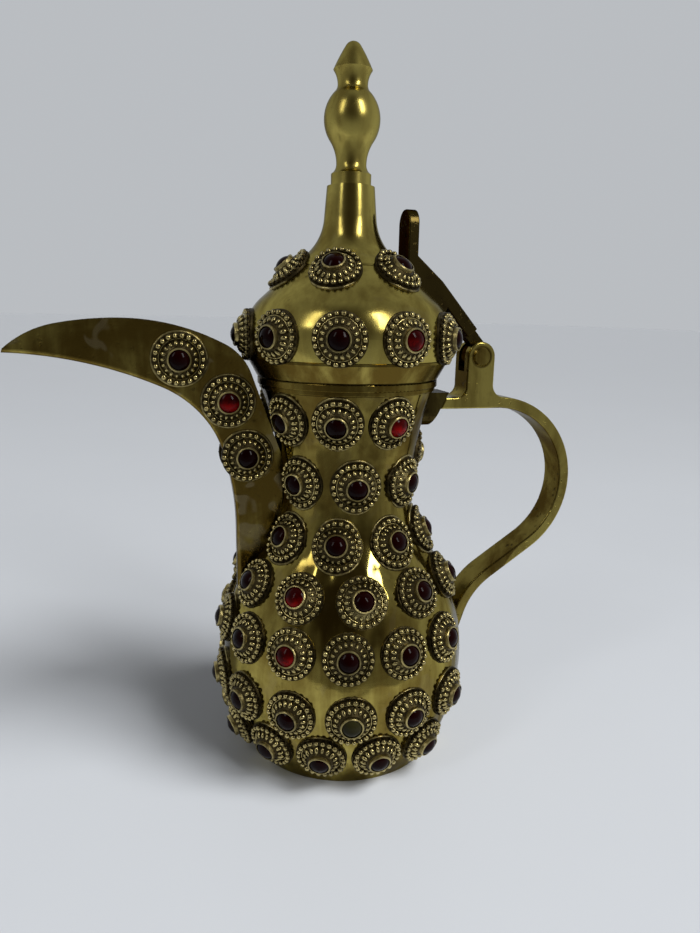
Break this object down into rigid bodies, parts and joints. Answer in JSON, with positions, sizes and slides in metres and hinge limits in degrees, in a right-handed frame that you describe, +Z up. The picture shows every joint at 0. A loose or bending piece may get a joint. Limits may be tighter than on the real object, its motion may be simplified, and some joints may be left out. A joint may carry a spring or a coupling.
{
  "type": "dallah coffee pot",
  "caption": "Brass coffee pot with a waisted body, an open beak spout, a strap handle and a hinged domed lid with a tall finial, set with rosettes that hold red glass stones.",
  "frame": {"origin": "centre of the base, on the surface that the pot stands on", "axes": "+Z up along the pot's axis, +X towards the handle, -X towards the spout, +Y across"},
  "size_m": [0.2586, 0.1256, 0.315],
  "materials": {
    "brass": "polished, aged",
    "ornament": "antiqued relief",
    "stone": "polished"
  },
  "bodies": {
    "pot": {"base_plate": "brass", "belly_row_bezels": "ornament", "belly_row_rosettes": "ornament", "belly_row_stones": "stone", "body_shell": "brass", "foot_row_bezels": "ornament", "foot_row_rosettes": "ornament", "foot_row_stones": "stone", "handle": "brass", "handle_saddle": "brass", "hinge_pin": "brass", "neck_band": "brass", "neck_row_bezels": "ornament", "neck_row_rosettes": "ornament", "neck_row_stones": "stone", "shoulder_row_bezels": "ornament", "shoulder_row_rosettes": "ornament", "shoulder_row_stones": "stone", "spout": "brass", "spout_bezels": "ornament", "spout_rosettes": "ornament", "spout_stones": "stone", "upper_belly_row_bezels": "ornament", "upper_belly_row_rosettes": "ornament", "upper_belly_row_stones": "stone", "upper_shoulder_row_bezels": "ornament", "upper_shoulder_row_rosettes": "ornament", "upper_shoulder_row_stones": "stone", "waist_row_bezels": "ornament", "waist_row_rosettes": "ornament", "waist_row_stones": "stone"},
    "lid": {"finial": "brass", "lid_dome": "brass", "lid_flange": "brass", "lid_inner_ring": "brass", "lid_row_bezels": "ornament", "lid_row_rosettes": "ornament", "lid_row_stones": "stone", "lid_stem": "brass", "thumb_lever": "brass", "upper_lid_row_bezels": "ornament", "upper_lid_row_rosettes": "ornament", "upper_lid_row_stones": "stone"}
  },
  "joints": [
    {"name": "lid_hinge", "type": "hinge", "parent": "pot", "child": "lid", "pos_m": [0.0633, 0, 0.186], "axis": [0, 1, 0], "range_deg": [0, 100]}
  ]
}
